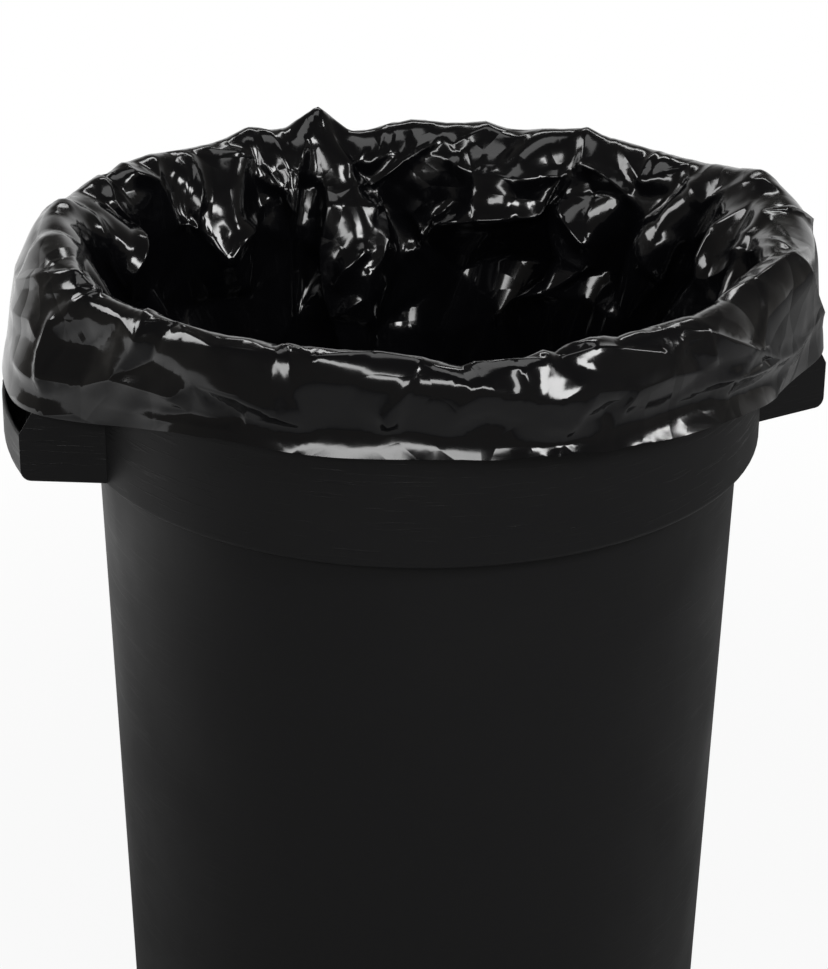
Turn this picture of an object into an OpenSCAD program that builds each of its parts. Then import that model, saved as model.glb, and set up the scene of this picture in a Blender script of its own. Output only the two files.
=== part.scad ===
// Round waste bin with a stepped collar and two side handles, lined with a bag that stands
// open inside, passes over the rim and hangs down outside as a cuff.
// Millimetres, Z up. The foot stands on Z = 0 and the handles lie along X.

/* [Bin] */
// Height from the floor to the top of the rim, mm
bin_height = 700; // [620:5:760]
// Outer radius of the foot, mm
foot_radius = 247; // [225:1:255]
// Outer radius of the collar, mm
collar_radius = 279; // [270:1:292]
// Height of the collar, from its lower edge to the rim, mm
collar_height = 160; // [145:5:185]
// Step from the body out to the collar, mm
collar_step = 16; // [10:1:20]
// Thickness of the moulded wall, mm
wall = 3.2; // [2.4:0.2:4.4]
// Radius of the rolled rim's section, mm
rim_roll = 4.6; // [3.6:0.2:5.4]
// Height of the underside of the floor above the foot, mm
floor_recess = 12; // [6:1:24]

/* [Handles] */
// Distance that a grip stands out from the collar, mm
handle_stand = 59; // [48:1:70]
// Width across the outside of a grip, mm
grip_width = 112; // [90:2:120]
// Width across the gussets where they leave the collar, mm
handle_root = 152; // [136:2:180]
// Height of a grip's outer wall, mm
grip_height = 39; // [28:1:46]
// Height of the handles' undersides above the collar's lower edge, mm
handle_lift = 4; // [0:1:12]
// Depth of a grip, from its outer wall to its finger lip, mm
grip_depth = 18; // [12:1:24]
// Height of the finger lip, mm
finger_lip = 13; // [8:1:20]
// Thickness of the gussets and the grips, mm
handle_wall = 3.6; // [2.6:0.2:5]

/* [Liner] */
// Thickness of the liner's film, mm
film = 1.2; // [0.8:0.1:1.8]
// Clearance between the film and the bin, mm
film_clearance = 0.5; // [0.4:0.1:1]
// Height of the film's crest above the rim, mm
crest = 4; // [3:1:12]
// Depth of the cuff below the rim, mm
cuff = 62; // [50:2:68]
// Depth of the deepest folds inside the bin, mm
fold_depth = 34; // [15:1:40]
// How far the loose film stands in from the wall between its folds, mm
slack = 9; // [2:1:12]

/* [Hidden] */
$fn = 120;

// Sizes of the bin that follow from the ones above
collar_edge = bin_height - collar_height;
body_radius = collar_radius - collar_step;
rim_radius = collar_radius - wall / 2;
rim_outer = rim_radius + rim_roll;
rim_inner = rim_radius - rim_roll;
floor_top = floor_recess + wall;
edge_round = 5;
foot_round = 10;
foot_ring = 16;
foot_flare = 4;

// Sizes of the handles that follow from the ones above
handle_reach = collar_radius + handle_stand;
root_x = sqrt(pow(collar_radius, 2) - pow(handle_root / 2, 2));
tip_x = sqrt(pow(handle_reach, 2) - pow(grip_width / 2, 2));
gusset_run = norm([tip_x - root_x, (handle_root - grip_width) / 2]);
gusset_turn = atan2((grip_width - handle_root) / 2, tip_x - root_x);
grip_turn = asin(grip_width / 2 / handle_reach);
handle_base = collar_edge + handle_lift;
gusset_top = bin_height - rim_roll;
corner_round = 8;
root_overlap = 12;

// Azimuths round the liner, and the steps of the film along each of its stretches
around = 120;
floor_steps = 2;
wall_steps = 9;
cuff_steps = 6;
fit = film_clearance + film / 2;

// Rings of film on the floor, in the corner and up the wall: distance from the foot's radius
// to the last floor ring, inset and height of the corner ring, the first wall ring's height
// above the floor, and the last one's depth below the rim
floor_margin = 26;
corner_inset = 6;
corner_height = 8;
wall_start = 34;
wall_end = 22;

// How soon the film leaves the collar's inside on its way up to the rim
draw_in = 1.6;

// Folds inside: azimuth, half width in degrees, share of fold_depth, lean in degrees
folds = [
  [5, 7, 0.5, 2], [24, 6, 0.6, -4], [43, 6, 0.6, 2], [60, 10, 0.35, 0], [76, 6, 0.5, 3],
  [90, 6, 1, 0], [105, 6, 0.8, 2], [119, 6, 0.9, 0], [131, 5, 0.7, 3], [148, 6, 0.9, -4],
  [163, 7, 0.5, -5], [186, 8, 0.7, 5], [210, 9, 0.5, -4], [233, 8, 0.8, 6],
  [262, 10, 0.55, -5], [291, 8, 0.75, 4], [318, 9, 0.5, -6], [341, 8, 0.7, 4]
];

// Share of its depth that a fold keeps at the floor and at the rim, the height, as a share
// of the bin's, at which it is full and that from which it closes, and its relative width
// at the floor and at the rim
fold_ends = [0.25, 0.3];
fold_heights = [0.7, 0.86];
fold_widths = [1.3, 0.8];

// Depth below the rim at which the loose film has its full slack, the share of it that is
// left at the floor, and its change round the bin: count, share and phase
slack_reach = 110;
slack_low = 0.3;
slack_waves = [[3, 0.3, 60], [5, 0.2, 0]];

// Fine ripples: share of fold_depth, then count round the bin and turn with height
ripple_share = 0.035;
ripples = [[17, 90], [29, -150]];

// Peaks of the film above its crest: azimuth, half width in degrees, height in mm.
// The two widest stand over the handles.
peaks = [
  [4, 28, 25], [36, 15, 11], [51, 9, 10], [96, 5, 21], [109, 6, 13], [132, 17, 17],
  [172, 34, 25], [247, 16, 8], [284, 16, 12]
];

// How far the crest leans out over the handles: azimuth, half width in degrees, and share
// of the way from the rim to the outside of the grip
leans = [[358, 40, 0.5], [170, 42, 0.5]];
lean_fullness = 1.8;

// Rings over the crest: radius, share of the rise above the rim, share of the folds and of
// the lean that reach the ring, and the way that its open side faces
crest_rings = [
  [rim_inner - 2 * fit, 0.1, 1, 0, 170],
  [rim_inner + 1, 0.8, 0.7, 0.3, 125],
  [rim_radius, 1, 0.2, 0.6, 90],
  [rim_outer + fit, 0.6, 0, 0.9, 40]
];

// How far the hem drops towards the handles: azimuth, half width in degrees, mm
drops = [[352, 80, 42], [183, 52, 36]];

// Pleats of the cuff: azimuth, half width in degrees, how far each stands out in mm
pleats = [
  [24, 6, 5], [40, 8, 6], [66, 9, 6], [88, 7, 8], [104, 6, 9], [124, 8, 6],
  [148, 6, 5], [214, 9, 3], [250, 14, 4], [284, 10, 5], [308, 7, 6], [326, 6, 4]
];

// Waves of the crest, the hem and the film on the floor: count, height in mm and phase
crest_waves = [[11, 0.8, 0]];
hem_waves = [[7, 1.5, 0], [13, 1, 40]];
floor_waves = [[9, 1.5, 60]];

function clamp(t) = min(1, max(0, t));

function ease(t) = let (c = clamp(t)) c * c * (3 - 2 * c);

function mix(a, b, t) = a + (b - a) * t;

function apart(a, b) = abs((a - b + 900) % 360 - 180);

function bump(a, at, half) = ease(1 - apart(a, at) / half);

function total(values, i = 0) = i < len(values) ? values[i] + total(values, i + 1) : 0;

// Sum of a list of bumps round the liner, each an azimuth, a half width and a height
function bumps(a, list) = total([for (b = list) b[2] * bump(a, b[0], b[1])]);

// Sum of waves round the liner, each a count, a height and a phase
function waves(a, list) = total([for (w = list) w[1] * sin(w[0] * a + w[2])]);

function arc(at, r, from, to, steps = 8) = [
  for (i = [0:steps]) let (t = mix(from, to, i / steps)) at + r * [cos(t), sin(t)]
];

// Outline of the bin's outside, from the axis under the floor up to the rim
function outside_outline() = concat(
  [[0, floor_recess], [foot_radius - foot_ring - foot_flare, floor_recess]],
  [[foot_radius - foot_ring, 0]],
  arc([foot_radius - foot_round, foot_round], foot_round, -90, 0),
  [[body_radius, collar_edge]],
  arc([collar_radius - edge_round, collar_edge + edge_round], edge_round, -90, 0),
  [[collar_radius, gusset_top], [0, gusset_top]]
);

// Outline of the space inside the bin, which leaves one even wall
function inside_outline() = concat(
  [[0, floor_top], [foot_radius - foot_ring - foot_flare + wall, floor_top]],
  [[foot_radius - foot_ring + wall, wall]],
  arc([foot_radius - foot_round, foot_round], foot_round - wall, -90, 0),
  [[body_radius - wall, collar_edge + wall]],
  arc([collar_radius - edge_round, collar_edge + edge_round], edge_round - wall, -90, 0),
  [[collar_radius - wall, bin_height + 1], [0, bin_height + 1]]
);

// Side plate of a handle, drawn in the plane of its outer face
module gusset() {
  translate([root_x, handle_root / 2, handle_base])
    rotate([90, 0, gusset_turn])
      linear_extrude(handle_wall)
        polygon(concat(
          [[-root_overlap, 0]],
          arc([gusset_run - corner_round, corner_round], corner_round, -90, 0),
          [[gusset_run, grip_height], [rim_outer - collar_radius, gusset_top - handle_base]],
          [[-root_overlap, gusset_top - handle_base]]
        ));
}

// Grip section: outer wall, web and finger lip, with full round edges
function grip_outline() = let (
  outer = handle_reach,
  inner = handle_reach - grip_depth,
  half = handle_wall / 2
) concat(
  arc([outer - corner_round, corner_round], corner_round, -90, 0),
  arc([outer - half, grip_height - half], half, 0, 180),
  arc([outer - corner_round, corner_round], corner_round - handle_wall, 0, -90),
  [[inner + handle_wall, handle_wall]],
  arc([inner + half, finger_lip - half], half, 0, 180),
  [[inner, 0]]
);

module handle() {
  intersection() {
    union() {
      gusset();
      mirror([0, 1, 0]) gusset();
    }
    cylinder(r = handle_reach, h = bin_height);
  }
  translate([0, 0, handle_base])
    rotate([0, 0, -grip_turn])
      rotate_extrude(angle = 2 * grip_turn)
        polygon(grip_outline());
}

module waste_bin() {
  color([0.09, 0.09, 0.09]) {
    difference() {
      union() {
        rotate_extrude() polygon(outside_outline());
        for (side = [0, 180]) rotate([0, 0, side]) handle();
      }
      rotate_extrude() polygon(inside_outline());
    }
    rotate_extrude() translate([rim_radius, bin_height - rim_roll]) circle(rim_roll);
  }
}

// Radius of the film's middle on the bin's inside, before its folds
function bag_radius(z) = (z < collar_edge
  ? mix(foot_radius, body_radius, z / collar_edge) - wall
  : mix(body_radius - wall, rim_inner, pow((z - collar_edge) / collar_height, draw_in))
) - fit;

// How far the loose film stands in between its folds, none at the rim
function slack_in(a, z) = slack * (1 + waves(a, slack_waves))
  * ease((bin_height - z) / slack_reach) * mix(slack_low, 1, z / bin_height);

// How far the film stands in from the bin's wall, with its folds and ripples
function fold_in(a, z) = let (
  up = z / bin_height,
  grown = mix(fold_ends[0], 1, ease(up / fold_heights[0])),
  closed = mix(1, fold_ends[1], ease((up - fold_heights[1]) / (1 - fold_heights[1]))),
  wide = mix(fold_widths[0], fold_widths[1], up),
  ripple = total([for (r = ripples) 1 + sin(r[0] * a + r[1] * up)])
) slack_in(a, z) + fold_depth * (ripple_share * ripple + grown * closed * total([
  for (f = folds) f[2] * bump(a, f[0] + f[3] * (1 - up), f[1] * wide)
]));

// Height of the film's crest, with its peaks
function crest_top(a) = bin_height + crest + waves(a, crest_waves) + bumps(a, peaks);

// Radius of the cuff where it is pulled tight over the collar and the handles
cover_turn = 10.5;
cuff_radius = rim_outer + 2 * fit;
cover_radius = handle_reach + 2 * fit;
cover_end = cover_turn + acos(cuff_radius / cover_radius);

function cover(a) = let (
  side = min(apart(a, 0), apart(a, 180))
) side < cover_turn ? cover_radius
  : side < cover_end ? cuff_radius / cos(cover_end - side)
  : cuff_radius;

// Share of the way out to that cover, from the rim down to the grips
function spread(z) = let (
  drop = (bin_height - z) / (bin_height - handle_base - grip_height)
) 1 - pow(clamp(1 - drop), lean_fullness);

// How far the crest leans out
function lean(a) = bumps(a, leans) * (handle_reach - rim_outer);

// Radius of the cuff, which leans out over the handles and stands out in pleats
function cuff_out(a, z) = let (
  top = cuff_radius + lean(a),
  full = max(cover(a), top)
) mix(top, full, spread(z)) + spread(z) * bumps(a, pleats);

// Height of the cuff's hem, lower over the handles
function hem(a) = bin_height - cuff - bumps(a, drops) + waves(a, hem_waves);

// The film's middle from the bin's floor to the hem, as radius, height and the way that
// its open side faces
function floor_path(a) = [
  for (i = [1:floor_steps]) let (share = i / floor_steps)
    [(foot_radius - floor_margin) * share,
      floor_top + fit + share * (floor_waves[0][1] + waves(a + i, floor_waves)), 90]
];

function corner_path(a) = let (
  z = floor_top + fit + corner_height
) [[bag_radius(z) - corner_inset - fold_in(a, z), z, 135]];

function wall_path(a) = [
  for (i = [1:wall_steps]) let (
    z = mix(floor_top + wall_start, bin_height - wall_end, (i - 1) / (wall_steps - 1))
  ) [bag_radius(z) - fold_in(a, z), z, 180]
];

function crest_path(a) = let (
  top = crest_top(a),
  in = fold_in(a, bin_height),
  out = lean(a)
) [
  for (c = crest_rings)
    [c[0] - c[2] * in + c[3] * out, mix(bin_height, top, c[1]), c[4]]
];

function cuff_path(a) = let (
  high = bin_height - rim_roll,
  low = hem(a)
) [
  for (i = [0:cuff_steps - 1]) let (z = mix(high, low, i / (cuff_steps - 1)))
    [cuff_out(a, z), z, 0]
];

function film_path(a) = concat(
  floor_path(a), corner_path(a), wall_path(a), crest_path(a), cuff_path(a)
);

function on_side(p, a, side) = let (
  r = p[0] + side * film / 2 * cos(p[2]),
  z = p[1] + side * film / 2 * sin(p[2])
) [r * cos(a), r * sin(a), z];

// One closed skin: the film's open side, its seat side, and the hem that joins them
module bin_liner() {
  azimuths = [for (i = [0:around - 1]) (i + 0.5) * 360 / around];
  paths = [for (a = azimuths) film_path(a)];
  rings = len(paths[0]);
  side_points = rings * around;
  centre = 2 * side_points;
  points = concat(
    [for (side = [1, -1]) for (j = [0:rings - 1]) for (i = [0:around - 1])
      on_side(paths[i][j], azimuths[i], side)],
    [for (side = [1, -1]) [0, 0, floor_top + fit + side * film / 2]]
  );
  open_side = [for (j = [0:rings - 2]) for (i = [0:around - 1]) let (
    a = j * around + i,
    b = j * around + (i + 1) % around
  ) each [[a, b, b + around], [a, b + around, a + around]]];
  seat_side = [for (f = open_side) [f[0], f[2], f[1]] + side_points * [1, 1, 1]];
  hem_edge = [for (i = [0:around - 1]) let (
    a = (rings - 1) * around + i,
    b = (rings - 1) * around + (i + 1) % around
  ) each [[a, b, b + side_points], [a, b + side_points, a + side_points]]];
  middle = [for (i = [0:around - 1]) let (b = (i + 1) % around) each [
    [centre, b, i], [centre + 1, i + side_points, b + side_points]
  ]];
  color([0.04, 0.04, 0.045])
    polyhedron(points,
      concat(open_side, seat_side, hem_edge, middle));
}

waste_bin();
bin_liner();
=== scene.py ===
"""A round black bin with two handles, lined with a glossy black bag that folds over its rim."""
import math

import bpy
import numpy as np
from mathutils import Matrix, Quaternion, Vector
from mathutils.geometry import delaunay_2d_cdt


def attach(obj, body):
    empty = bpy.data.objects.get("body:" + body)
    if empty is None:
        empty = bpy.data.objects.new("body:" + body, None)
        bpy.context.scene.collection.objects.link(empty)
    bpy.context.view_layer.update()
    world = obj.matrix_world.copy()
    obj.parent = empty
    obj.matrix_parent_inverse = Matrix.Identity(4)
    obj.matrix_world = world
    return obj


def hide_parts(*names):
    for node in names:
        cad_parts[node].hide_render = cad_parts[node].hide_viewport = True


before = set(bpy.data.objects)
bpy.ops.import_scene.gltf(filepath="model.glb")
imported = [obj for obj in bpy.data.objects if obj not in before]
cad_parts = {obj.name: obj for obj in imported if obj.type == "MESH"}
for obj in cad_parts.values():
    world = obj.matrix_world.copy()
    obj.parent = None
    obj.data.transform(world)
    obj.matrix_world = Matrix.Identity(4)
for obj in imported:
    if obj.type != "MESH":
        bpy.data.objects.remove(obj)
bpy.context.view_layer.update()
scene = bpy.context.scene

# The camera, in metres. The focal length and the shift are in pixels of a frame FRAME tall.
CAMERA_TURN = math.radians(-14)
CAMERA_DISTANCE = 2.4
CAMERA_ELEVATION = math.radians(23.6)
CAMERA_ROLL = math.radians(0.48)
AIM = Vector((0, 0, 0.54))
FRAME = 969
FOCAL = 2911
SENSOR = 36
SHIFT_X = -4.05
SHIFT_Y = -65

camera = bpy.data.objects.new("camera", bpy.data.cameras.new("camera"))
scene.collection.objects.link(camera)
scene.camera = camera
back = Vector((0, -math.cos(CAMERA_ELEVATION), math.sin(CAMERA_ELEVATION))) * CAMERA_DISTANCE
camera.location = Matrix.Rotation(CAMERA_TURN, 4, "Z") @ back + AIM
look = (AIM - camera.location).to_track_quat("-Z", "Y")
camera.rotation_euler = (look @ Quaternion((0, 0, 1), CAMERA_ROLL)).to_euler()
camera.data.lens = FOCAL * SENSOR / FRAME
camera.data.shift_x = SHIFT_X / FRAME
camera.data.shift_y = SHIFT_Y / FRAME

# The lamps, all rectangles that look at LAMP_AIM: name, azimuth in degrees, distance from the
# axis and height in metres, size and power in watts
LAMPS = (("key", 297, 1.85, 1.8, (0.7, 0.5), 26),
         ("fill", 243, 2.0, 1.6, (1.7, 0.35), 25),
         ("overhead", 0, 0, 2.5, (1.4, 1.0), 11),
         ("left", 150, 2.2, 1.9, (1.0, 0.9), 26),
         ("back", 72, 1.7, 2.1, (1.4, 0.2), 7),
         ("right", 346, 2.0, 1.6, (0.2, 0.7), 9))
LAMP_AIM = Vector((0, 0, 0.6))

for name, azimuth, distance, height, size, power in LAMPS:
    lamp = bpy.data.lights.new(name, "AREA")
    lamp.shape = "RECTANGLE"
    lamp.size, lamp.size_y = size
    lamp.energy = power
    thing = bpy.data.objects.new(name, lamp)
    scene.collection.objects.link(thing)
    turn = math.radians(azimuth)
    thing.location = (distance * math.cos(turn), distance * math.sin(turn), height)
    thing.rotation_euler = (LAMP_AIM - thing.location).to_track_quat("-Z", "Y").to_euler()


def feed(tree, socket, value):
    """Gives an input a value, or links another node's output to it."""
    if isinstance(value, bpy.types.NodeSocket):
        tree.links.new(value, socket)
    else:
        socket.default_value = value


def node(tree, kind, **inputs):
    """A shader node, its inputs fed by name."""
    made = tree.nodes.new(kind)
    for name, value in inputs.items():
        feed(tree, made.inputs[name.replace("_", " ")], value)
    return made


def operate(tree, kind, operation, *inputs):
    """The outputs of a Math or Vector Math node, its inputs fed in order."""
    made = tree.nodes.new(kind)
    made.operation = operation
    for socket, value in zip(made.inputs, inputs):
        feed(tree, socket, value)
    return made.outputs


def maths(tree, operation, first, second):
    return operate(tree, "ShaderNodeMath", operation, first, second)["Value"]


def ramp(tree, source, low, high, start, end, smooth=False):
    """A value that goes from start to end while source goes from low to high."""
    made = node(tree, "ShaderNodeMapRange", Value=source, From_Min=low, From_Max=high,
                To_Min=start, To_Max=end)
    if smooth:
        made.interpolation_type = "SMOOTHSTEP"
    return made.outputs["Result"]


def blend(tree, share, first, second):
    """A mix of two shaders, by the second one's share."""
    made = node(tree, "ShaderNodeMixShader", Fac=share)
    feed(tree, made.inputs[1], first)
    feed(tree, made.inputs[2], second)
    return made.outputs["Shader"]


def glow(tree, colour, strength):
    return node(tree, "ShaderNodeBackground", Color=colour, Strength=strength).outputs[0]


# The room. The camera sees plain white. Gloss sees white low behind the object, and the dim
# room elsewhere. All other light from the room is STUDIO strong.
WHITE = (1, 1, 1, 1)
DIM = (0.66, 0.63, 0.58, 1)
STUDIO = 0.2

world = bpy.data.worlds.new("studio")
scene.world = world
world.use_nodes = True
tree = world.node_tree
tree.nodes.clear()
ray = node(tree, "ShaderNodeLightPath").outputs
where = node(tree, "ShaderNodeTexCoord").outputs["Generated"]
turned = node(tree, "ShaderNodeMapping", Vector=where, Rotation=(0, 0, -CAMERA_TURN))
way = node(tree, "ShaderNodeSeparateXYZ", Vector=turned.outputs["Vector"]).outputs
behind = ramp(tree, way["Y"], 0.45, 0.95, 0, 1, smooth=True)
low = ramp(tree, way["Z"], 0.45, 0.15, 0, 1, smooth=True)
ceiling = ramp(tree, way["Z"], -0.1, 0.85, 0.3, 0.14, smooth=True)
white = glow(tree, WHITE, 1)
seen = blend(tree, maths(tree, "MULTIPLY", behind, low), glow(tree, DIM, ceiling), white)
gloss = maths(tree, "MAXIMUM", ray["Is Glossy Ray"], ray["Is Transmission Ray"])
room = blend(tree, gloss, glow(tree, WHITE, STUDIO), seen)
node(tree, "ShaderNodeOutputWorld", Surface=blend(tree, ray["Is Camera Ray"], room, white))

# The floor. It takes the object's shadow, and is white to the camera, less so near the object.
# Gloss sees it white on the side that faces PALE_SIDE, and dim elsewhere.
FLOOR_RADIUS = 3
FLOOR_GREY = (0.3, 0.3, 0.3, 1)
PALE_SIDE = math.radians(130)

bpy.ops.mesh.primitive_circle_add(vertices=96, radius=FLOOR_RADIUS, fill_type="NGON")
floor = bpy.context.object
floor.name = "floor"
pale = bpy.data.materials.new("floor")
pale.use_nodes = True
tree = pale.node_tree
tree.nodes.clear()
ray = node(tree, "ShaderNodeLightPath").outputs
place = node(tree, "ShaderNodeTexCoord").outputs["Object"]
away = operate(tree, "ShaderNodeVectorMath", "LENGTH", place)["Value"]
fade = ramp(tree, away, 0.45, 1.6, 0.93, 1, smooth=True)
side = (math.cos(PALE_SIDE), math.sin(PALE_SIDE), 0)
toward = operate(tree, "ShaderNodeVectorMath", "DOT_PRODUCT", place, side)["Value"]
far = ramp(tree, toward, 0.3, 1.6, 0, 1, smooth=True)
mirrored = maths(tree, "MULTIPLY", far, ray["Is Glossy Ray"])
direct = maths(tree, "MAXIMUM", ray["Is Camera Ray"], ray["Is Transmission Ray"])
share = maths(tree, "MULTIPLY", fade, maths(tree, "MAXIMUM", direct, mirrored))
matt = node(tree, "ShaderNodeBsdfDiffuse", Color=FLOOR_GREY).outputs["BSDF"]
bright = node(tree, "ShaderNodeEmission", Color=WHITE, Strength=1).outputs["Emission"]
node(tree, "ShaderNodeOutputMaterial", Surface=blend(tree, share, matt, bright))
floor.data.materials.append(pale)


def plastic(name, colour, roughness, specular):
    """A new material with its shader's own values set."""
    made = bpy.data.materials.new(name)
    made.use_nodes = True
    shader = made.node_tree.nodes["Principled BSDF"]
    shader.inputs["Base Color"].default_value = (*colour, 1)
    shader.inputs["Roughness"].default_value = roughness
    shader.inputs["Specular IOR Level"].default_value = specular
    return made, made.node_tree, shader


def noise(tree, source, scale, detail=2, stretch=None):
    """Noise over a coordinate, drawn out by stretch."""
    if stretch:
        source = node(tree, "ShaderNodeMapping", Vector=source, Scale=stretch).outputs["Vector"]
    made = node(tree, "ShaderNodeTexNoise", Vector=source, Scale=scale, Detail=detail)
    return made.outputs["Fac"]


def bump(tree, height, strength, distance, below=None):
    """A bump, on top of another one if below is given."""
    made = node(tree, "ShaderNodeBump", Height=height, Strength=strength, Distance=distance)
    if below:
        feed(tree, made.inputs["Normal"], below)
    return made.outputs["Normal"]


def bin_plastic():
    """Matt moulded plastic, cloudy and finely streaked, with level scuffs on the collar."""
    made, tree, shader = plastic("bin_plastic", (0.004, 0.004, 0.0043), 0.46, 0.2)
    place = node(tree, "ShaderNodeTexCoord").outputs["Object"]
    height = node(tree, "ShaderNodeSeparateXYZ", Vector=place).outputs["Z"]
    marks = ramp(tree, noise(tree, place, 22, 5, (1, 1, 16)), 0.58, 0.66, 0, 0.14)
    scuffs = maths(tree, "MULTIPLY", marks, ramp(tree, height, 0.53, 0.56, 0.25, 1))
    cloudy = ramp(tree, noise(tree, place, 9, 4), 0.3, 0.7, 0.4, 0.54)
    feed(tree, shader.inputs["Roughness"], maths(tree, "SUBTRACT", cloudy, scuffs))
    grain = noise(tree, place, 900, 2)
    streaks = noise(tree, place, 60, 3, (1, 1, 0.06))
    relief = bump(tree, streaks, 0.12, 0.0006, bump(tree, scuffs, 0.5, 0.002))
    feed(tree, shader.inputs["Normal"], bump(tree, grain, 0.15, 0.0002, relief))
    return made


def film_plastic():
    """Glossy film, with small soft dents in patches."""
    made, tree, shader = plastic("liner_film", (0.0018, 0.0018, 0.0022), 0.1, 0.36)
    place = node(tree, "ShaderNodeTexCoord").outputs["Object"]
    cloudy = noise(tree, place, 14, 3)
    feed(tree, shader.inputs["Roughness"], ramp(tree, cloudy, 0.3, 0.7, 0.09, 0.16))
    wander = node(tree, "ShaderNodeTexNoise", Vector=place, Scale=9, Detail=2).outputs["Color"]
    bent = operate(tree, "ShaderNodeVectorMath", "MULTIPLY_ADD", wander, (0.03, 0.03, 0.03),
                   place)["Vector"]
    cells = node(tree, "ShaderNodeTexVoronoi", Vector=bent, Scale=15)
    cells.feature = "DISTANCE_TO_EDGE"
    patchy = ramp(tree, noise(tree, place, 6.875, 1), 0.35, 0.6, 0, 1)
    dents = maths(tree, "MULTIPLY", cells.outputs["Distance"], patchy)
    feed(tree, shader.inputs["Normal"], bump(tree, dents, 1, 0.005))
    return made


bin_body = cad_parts["waste_bin"]
bin_body.data.materials.clear()
bin_body.data.materials.append(bin_plastic())

# The bin, in millimetres: HEIGHT to the rim, EDGE to the collar's lower edge, the radii of the
# collar, of the body under it and of the foot, and the radius of the rim's roll
HEIGHT = 700
EDGE = 540
COLLAR = 279
BODY = 263
FOOT = 247
WALL = 3.2
ROLL = 4.6
FLOOR_TOP = 15.2
RIM = COLLAR - WALL / 2
RIM_OUT = RIM + ROLL
RIM_IN = RIM - ROLL

# The handles: how far from the axis the grips reach, the width of a grip and of its root, and
# the heights of a grip's lower and upper edge
REACH = 338
GRIP_WIDTH = 112
ROOT_WIDTH = 152
GRIP_BASE = EDGE + 4
GRIP_TOP = GRIP_BASE + 39
ROOT_X = math.sqrt(COLLAR ** 2 - (ROOT_WIDTH / 2) ** 2)
TIP_X = math.sqrt(REACH ** 2 - (GRIP_WIDTH / 2) ** 2)

# The bag, in millimetres: its girth and length when flat, how far it stands off the bin where
# it is drawn and at the least, and how much of its length, up to the hem, is worked in detail
BAG_ROUND = 1935
GAP = 1.2
CLEAR = 0.8
FINE = 470

# The worked film laid flat: TURN is its length once round the bin, held by a grid of AROUND
# columns and FINE_ROWS rows. Its vertices stand about STEP apart. It is cut open at SEAM, where
# no crease lies, and goes on for MARGIN past both ends while it is folded.
TURN = 1700
AROUND = 640
FINE_ROWS = 121
STEP = 3.5
MARGIN = 120
SEAM_COLUMN = 295
SEAM = SEAM_COLUMN * 360 / AROUND

# Grids on which the film is draped: columns, rows, rounds, how strongly the wanted place holds
# it and how stiff it is. The film is shaken by SHAKE mm before the first, and by LESS_SHAKE
# before the second.
LEVELS = ((160, 31, 400, 0.008, 0.4), (320, 61, 160, 0.002, 0.16))
SHAKE = 1
LESS_SHAKE = 0.1

# Azimuths, from the X axis, of the bin's front and of the two handles
FRONT = 256
HANDLES = (0, 180)

# Half of the angle over which a grip holds the cuff out at its full reach, in degrees
COVER_TURN = 10.5

# How the film changes round the bin: rows of azimuth and half width in degrees, and size in
# mm. PEAKS and TIPS raise the crest, by CREST_RISE at the least. LEANS push it outwards over
# the handles. BULGES swell the cuff's BELLY. DROPS lower the hem, by CUFF_DROP at the least.
# The hem flares out by FLARE mm, over FLARE_RUN mm.
CREST_RISE = 8
CUFF_DROP = 62
BELLY = 8
FLARE = 8
FLARE_RUN = 18
PEAKS = ((4, 28, 25), (36, 15, 11), (51, 9, 10), (96, 6, 30), (109, 6, 13), (132, 17, 17),
         (172, 34, 25), (247, 16, 8), (284, 16, 12))
TIPS = ((95, 6, 13), (109, 4, 4), (44.5, 5, 5), (148, 5, 4), (4, 6, 6), (162, 6, 5), (64, 4, 4),
        (238, 6, 3), (270, 7, 3), (298, 6, 3))
BULGES = ((277, 24, 12), (225, 26, 4), (312, 14, 4), (100, 40, 4))
LEANS = ((355, 42, 36), (170, 42, 28))
DROPS = ((352, 80, 42), (183, 52, 36))

# Folds down the inside: azimuth, half width, depth, lean, lowest and highest z
FOLDS = ((170, 7, 16, -6, 480, 700), (186, 8, 24, 5, 470, 700), (210, 9, 20, -4, 460, 700),
         (233, 8, 26, 6, 470, 700), (262, 10, 20, -5, 470, 700), (291, 8, 26, 4, 470, 700),
         (318, 9, 20, -6, 470, 700), (341, 8, 24, 4, 470, 700))

# Tongues that lean in from the wall: azimuth, half width, top z, bottom z, depth at the bottom
TONGUES = ((90.5, 7, 705, 528, 40), (103.5, 5, 712, 640, 26), (119, 6, 690, 610, 26),
           (131, 6, 712, 652, 24), (148, 4.5, 720, 600, 30), (160, 5, 715, 630, 20),
           (61, 17, 700, 636, 26), (43, 6, 690, 600, 24), (24, 6, 690, 612, 28),
           (4, 6, 715, 612, 26), (78, 4, 680, 600, 16))

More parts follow.
